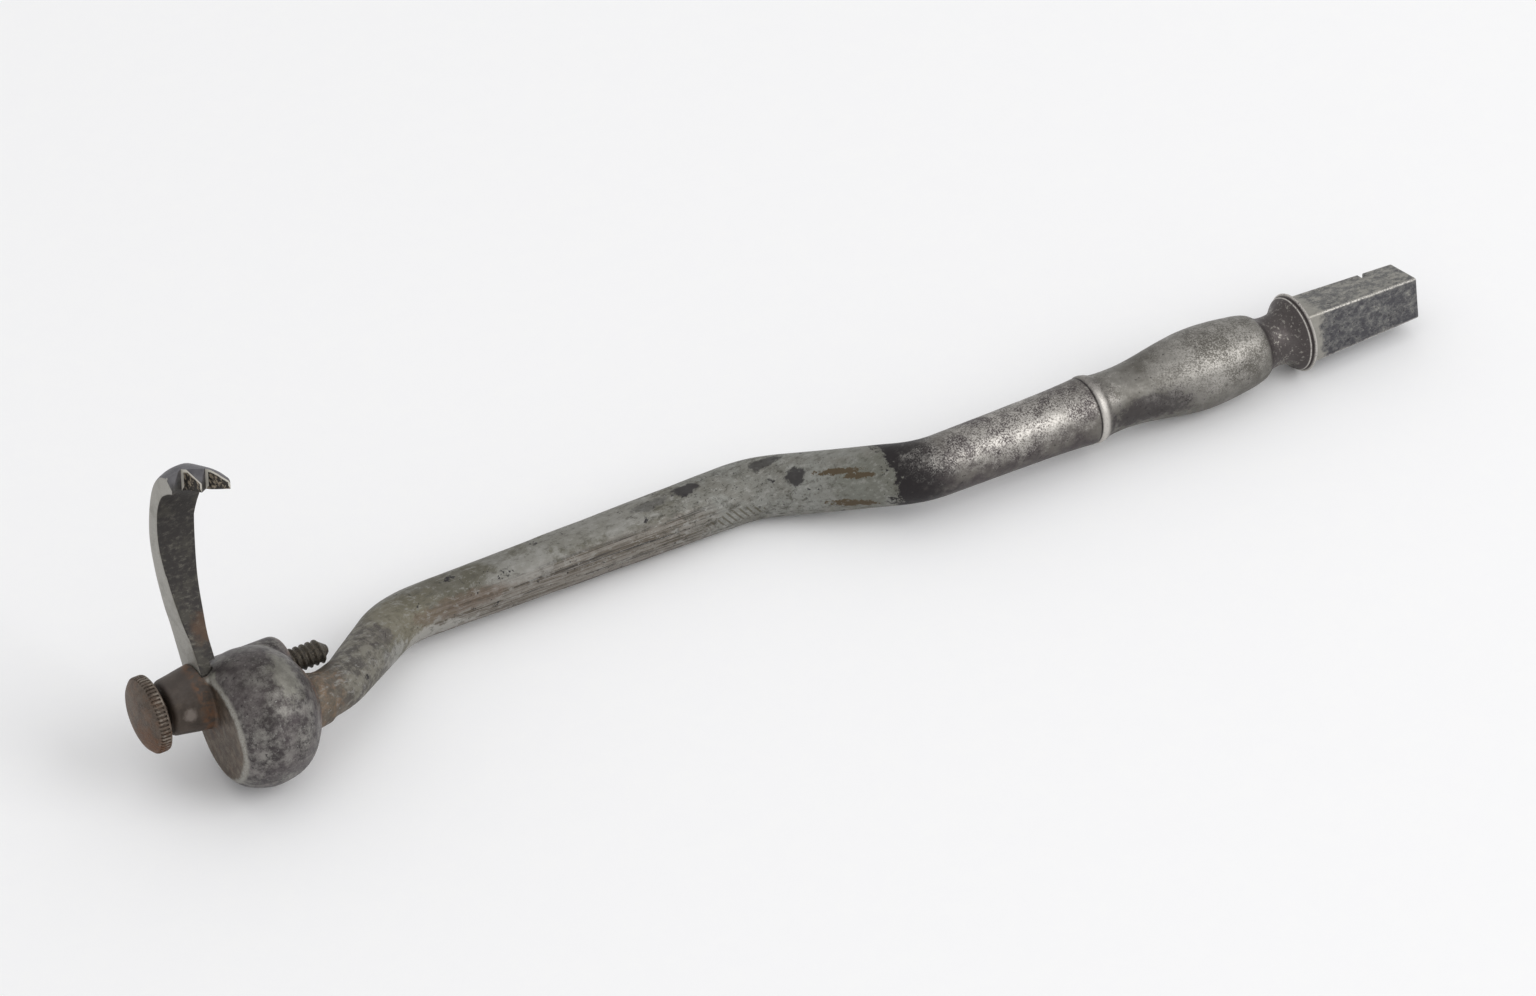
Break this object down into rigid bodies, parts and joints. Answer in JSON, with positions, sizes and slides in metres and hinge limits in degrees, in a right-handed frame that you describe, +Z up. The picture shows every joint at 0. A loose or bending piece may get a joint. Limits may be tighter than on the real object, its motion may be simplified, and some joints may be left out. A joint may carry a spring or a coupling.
{
  "type": "dental key",
  "caption": "Cranked steel tooth key with a square tang, turned grip end, drum bolster and a swinging three-pronged claw held by a milled pivot screw.",
  "frame": {"origin": "centre of the collar's seat face, where the square tang starts", "axes": "+X along the main axis from the bolster to the tang's end, +Z up as the key lies on a table, +Y to the side the crank bends to"},
  "size_m": [0.1508, 0.0195, 0.0381],
  "materials": {
    "shaft_steel": "patinated forged steel, worn bright on the grip",
    "bolster_steel": "mottled dark patinated steel",
    "claw_steel": "dark granular steel with lighter filed sides",
    "screw_steel": "brown rusted steel"
  },
  "bodies": {
    "key": {"shaft": "shaft_steel", "bolster": "bolster_steel"},
    "claw": {"claw": "claw_steel"},
    "screw": {"pivot_screw": "screw_steel"}
  },
  "joints": [
    {"name": "claw_swing", "type": "hinge", "parent": "key", "child": "claw", "pos_m": [-0.1283, 0.004, 0.00215], "axis": [1, 0, 0], "range_deg": [-50, 2]},
    {"name": "screw_turn", "type": "hinge", "parent": "key", "child": "screw", "pos_m": [-0.1332, 0.004, 0.00215], "axis": [1, 0, 0], "continuous": true}
  ]
}
